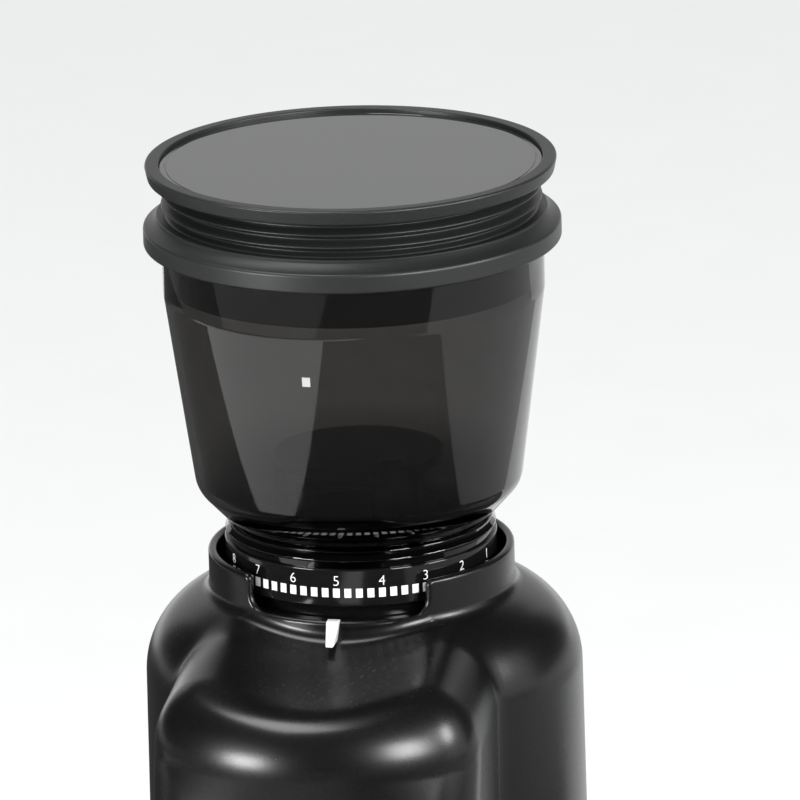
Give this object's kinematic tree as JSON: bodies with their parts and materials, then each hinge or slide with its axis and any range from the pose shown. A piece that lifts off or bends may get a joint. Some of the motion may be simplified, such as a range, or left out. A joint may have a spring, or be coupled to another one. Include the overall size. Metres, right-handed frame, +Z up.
{
  "type": "electric coffee grinder",
  "caption": "Upright electric burr coffee grinder: round column, front hump over a grounds cup, numbered grind dial, smoked clear hopper and a bellows blower lid.",
  "frame": {"origin": "middle of the footprint box, on the table", "axes": "+Z up, -Y towards the user's side with the cup, +X to the user's right"},
  "size_m": [0.127, 0.166, 0.361],
  "materials": {
    "silicone": "matte dark grey silicone rubber",
    "gloss_disc": "polished black disc",
    "smoked_clear": "smoked clear, polished",
    "guard_plastic": "satin black",
    "dial_plastic": "gloss black with white print",
    "white_plastic": "satin white",
    "housing_plastic": "satin black",
    "rubber": "matte black",
    "cast_alloy": "die cast",
    "burr_steel": "ground steel",
    "bright_steel": "bright steel",
    "nylon": "natural nylon",
    "brass": "machined brass",
    "motor_steel": "zinc plated",
    "ferrite": "dark ferrite",
    "armature": "laminated steel with copper windings",
    "motor_plastic": "satin dark plastic",
    "switch_plastic": "gloss black",
    "board_green": "solder mask"
  },
  "bodies": {
    "body": {"upper_housing": "housing_plastic", "pointer": "white_plastic", "hump_floor": "housing_plastic", "lower_housing": "housing_plastic", "base": "housing_plastic", "feet": "rubber", "chute": "housing_plastic", "grind_chamber": "cast_alloy", "wave_spring": "bright_steel", "upper_bearing": "bright_steel", "lower_bearing": "bright_steel", "shaft_seal": "rubber", "gear_plate": "cast_alloy", "gear_bridge": "cast_alloy", "idler_pin": "bright_steel", "rubber_mounts": "rubber", "motor_can": "motor_steel", "motor_magnets": "ferrite", "motor_cap": "motor_plastic", "switch_body": "switch_plastic", "control_board": "board_green", "board_parts": "motor_plastic", "cord_gland": "rubber", "base_screws": "bright_steel", "seam_screws": "bright_steel", "chamber_screws": "bright_steel", "plate_screws": "bright_steel", "bridge_screws": "bright_steel", "motor_screws": "bright_steel", "floor_screws": "bright_steel", "board_screws": "bright_steel"},
    "dial": {"dial_ring": "dial_plastic"},
    "hopper": {"hopper": "smoked_clear", "bean_guard": "guard_plastic"},
    "lid": {"lid_base": "silicone", "bellows": "silicone"},
    "pump": {"pump_plate": "silicone", "pump_inlay": "gloss_disc"},
    "carrier": {"burr_carrier": "cast_alloy", "ring_burr": "burr_steel"},
    "spindle": {"spindle": "bright_steel", "cone_burr": "burr_steel", "burr_nut": "bright_steel", "impeller": "nylon", "output_gear": "nylon"},
    "idler": {"idler_gear": "nylon"},
    "rotor": {"armature": "armature", "motor_pinion": "brass", "cooling_fan": "motor_plastic"},
    "cup": {"grounds_cup": "smoked_clear"},
    "rocker": {"switch_rocker": "switch_plastic"}
  },
  "joints": [
    {"name": "grind_adjust", "type": "hinge", "parent": "body", "child": "dial", "pos_m": [0, 0.0195, 0.247], "axis": [0, 0, 1], "range_deg": [-80, 60]},
    {"name": "hopper_lift", "type": "slide", "parent": "dial", "child": "hopper", "axis": [0, 0, 1], "range_m": [0, 0.03]},
    {"name": "lid_lift", "type": "slide", "parent": "hopper", "child": "lid", "axis": [0, 0, 1], "range_m": [0, 0.03]},
    {"name": "blower_press", "type": "slide", "parent": "lid", "child": "pump", "axis": [0, 0, 1], "range_m": [-0.0045, 0], "stiffness_N_per_m": 800, "springref_m": 0.002, "deforming": ["bellows"]},
    {"name": "burr_lift", "type": "slide", "parent": "body", "child": "carrier", "axis": [0, 0, 1], "range_m": [-0.0005, 0.0004], "deforming": ["wave_spring"]},
    {"name": "burr_spin", "type": "hinge", "parent": "body", "child": "spindle", "pos_m": [0, 0.0195, 0.18], "axis": [0, 0, 1], "continuous": true},
    {"name": "idler_spin", "type": "hinge", "parent": "body", "child": "idler", "pos_m": [0.02174, 0.04433, 0.15], "axis": [0, 0, 1], "continuous": true},
    {"name": "motor_spin", "type": "hinge", "parent": "body", "child": "rotor", "pos_m": [0, 0.0545, 0.1], "axis": [0, 0, 1], "continuous": true},
    {"name": "cup_pull", "type": "slide", "parent": "body", "child": "cup", "axis": [0, -1, 0], "range_m": [0, 0.11]},
    {"name": "power_rocker", "type": "hinge", "parent": "body", "child": "rocker", "pos_m": [0.0595, 0.0195, 0.064], "axis": [0, 1, 0], "range_deg": [0, 18]}
  ],
  "couplings": [
    {"joint": "burr_lift", "follows": "grind_adjust", "m_per_rad": 0.00034},
    {"joint": "idler_spin", "follows": "burr_spin", "ratio": -4.5},
    {"joint": "motor_spin", "follows": "burr_spin", "ratio": 18}
  ]
}
